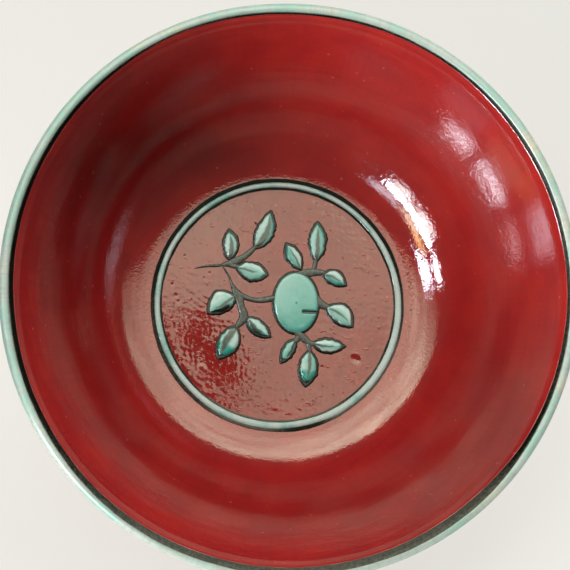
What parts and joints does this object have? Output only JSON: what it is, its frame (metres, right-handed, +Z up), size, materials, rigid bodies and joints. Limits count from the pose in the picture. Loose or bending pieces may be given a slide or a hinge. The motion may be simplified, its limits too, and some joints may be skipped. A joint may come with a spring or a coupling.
{
  "type": "glazed cup",
  "caption": "Small round footed cup with a flared lip, red glaze, turquoise bands edged in black, and a raised fruiting branch inside a ring in the well.",
  "frame": {"origin": "centre of the foot ring's bottom edge, on the surface that the cup stands on", "axes": "+Z up along the cup's axis, out of its mouth; +Y towards the upper side of the branch in the well; +X towards its right side"},
  "size_m": [0.1, 0.1, 0.045],
  "materials": {
    "porcelain": "bare fired clay, matt, shown only at the foot's edge",
    "red_glaze": "deep red ground, glossy, faintly pitted and uneven",
    "turquoise_enamel": "opaque pale turquoise enamel, glossy, pooled darker where thick",
    "black_line": "brushed black-brown line under glaze",
    "slip": "brushed grey-olive slip with darker edges, glossy",
    "clear_glaze": "clear glaze over pale porcelain, glossy"
  },
  "bodies": {
    "root": {"porcelain_body": "porcelain", "foot_ring": "porcelain", "base_glaze": "clear_glaze", "red_ground_medallion": "red_glaze", "red_ground_inside": "red_glaze", "red_ground_outside": "red_glaze", "ring_line_inner": "black_line", "ring_band": "turquoise_enamel", "ring_line_outer": "black_line", "lip_line_inside": "black_line", "lip_band": "turquoise_enamel", "lip_line_outside": "black_line", "foot_line": "black_line", "foot_band": "turquoise_enamel", "branch_drawing": "slip", "fruit": "turquoise_enamel", "leaf_01": "turquoise_enamel", "leaf_02": "turquoise_enamel", "leaf_03": "turquoise_enamel", "leaf_04": "turquoise_enamel", "leaf_05": "turquoise_enamel", "leaf_06": "turquoise_enamel", "leaf_07": "turquoise_enamel", "leaf_08": "turquoise_enamel", "leaf_09": "turquoise_enamel", "leaf_10": "turquoise_enamel", "leaf_11": "turquoise_enamel", "leaf_12": "turquoise_enamel", "leaf_13": "turquoise_enamel"}
  },
  "joints": []
}
